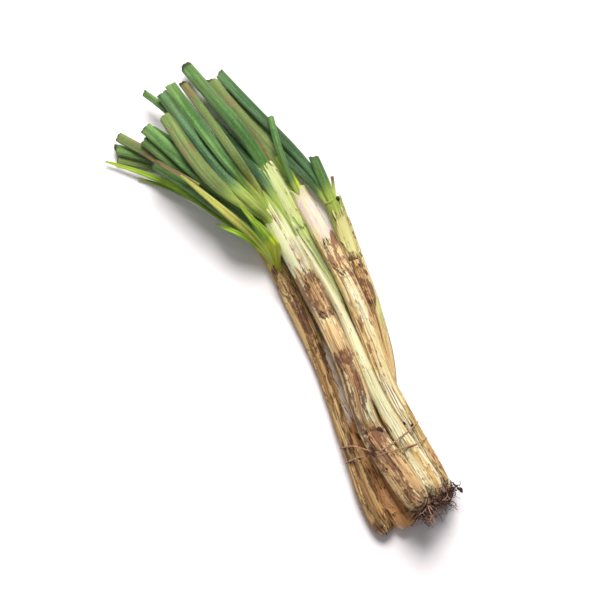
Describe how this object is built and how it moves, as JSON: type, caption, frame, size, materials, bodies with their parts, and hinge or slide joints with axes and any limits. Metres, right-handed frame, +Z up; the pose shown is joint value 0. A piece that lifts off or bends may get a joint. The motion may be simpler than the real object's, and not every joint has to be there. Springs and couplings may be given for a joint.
{
  "type": "spring onion bunch",
  "caption": "Bunch of spring onions tied with thin twine, lying down, with cut green leaves, white and brown skinned stems and small rooted bulbs.",
  "frame": {"origin": "centre of the bounding box's bottom, on the surface the bunch lies on", "axes": "+Z up, +Y along the bunch from the bulbs towards the cut green tips"},
  "size_m": [0.1142, 0.3084, 0.0508],
  "materials": {
    "sheath_1": "brown papery skin with a purple-brown patch",
    "sheath_2": "pale green-white sheath turning to brown papery skin",
    "sheath_3": "smooth pale green sheath with a split collar",
    "sheath_4": "pinkish white sheath turning to yellow-tan skin",
    "sheath_5": "tan skin with brown stains",
    "sheath_6": "glossy orange-tan skin",
    "sheath_7": "clean white sheath",
    "leaf_green": "waxy green hollow leaf",
    "leaf_blue_green": "waxy dark green hollow leaf",
    "leaf_olive": "olive hollow leaf with brown stains",
    "leaf_yellow_green": "young yellow-green leaf",
    "leaf_pale_yellow": "pale yellow leaf",
    "leaf_dry": "dried brown leaf",
    "roots": "fine dried brown roots with soil",
    "twine": "thin natural-fibre twine"
  },
  "bodies": {
    "root": {"onion_1_stem": "sheath_1", "onion_2_stem": "sheath_2", "onion_3_stem": "sheath_3", "onion_4_stem": "sheath_4", "onion_5_stem": "sheath_5", "onion_6_stem": "sheath_6", "onion_7_stem": "sheath_7", "onion_6_leaf_1": "leaf_olive", "onion_6_leaf_2": "leaf_green", "onion_6_leaf_3": "leaf_olive", "onion_1_leaf_1": "leaf_green", "onion_2_leaf_1": "leaf_yellow_green", "onion_2_leaf_2": "leaf_green", "onion_5_leaf_1": "leaf_olive", "onion_5_leaf_2": "leaf_blue_green", "onion_5_leaf_3": "leaf_blue_green", "onion_4_leaf_1": "leaf_olive", "onion_3_leaf_1": "leaf_dry", "onion_1_leaf_2": "leaf_yellow_green", "onion_6_leaf_4": "leaf_green", "onion_6_leaf_5": "leaf_green", "onion_1_leaf_3": "leaf_yellow_green", "onion_1_leaf_4": "leaf_green", "onion_6_leaf_6": "leaf_dry", "onion_2_leaf_3": "leaf_olive", "onion_7_leaf_1": "leaf_blue_green", "onion_2_leaf_4": "leaf_blue_green", "onion_2_leaf_5": "leaf_green", "onion_2_leaf_6": "leaf_olive", "onion_3_leaf_2": "leaf_green", "onion_1_leaf_5": "leaf_pale_yellow", "onion_1_leaf_6": "leaf_yellow_green", "onion_1_leaf_7": "leaf_yellow_green", "onion_1_leaf_8": "leaf_yellow_green", "onion_4_leaf_2": "leaf_yellow_green", "onion_4_leaf_3": "leaf_green", "onion_5_leaf_4": "leaf_green", "onion_5_leaf_5": "leaf_dry", "onion_1_roots": "roots", "onion_2_roots": "roots", "onion_3_roots": "roots", "onion_4_roots": "roots", "onion_5_roots": "roots", "onion_6_roots": "roots", "onion_7_roots": "roots", "stray_root": "roots", "twine": "twine", "twine_knot": "twine"}
  },
  "joints": []
}
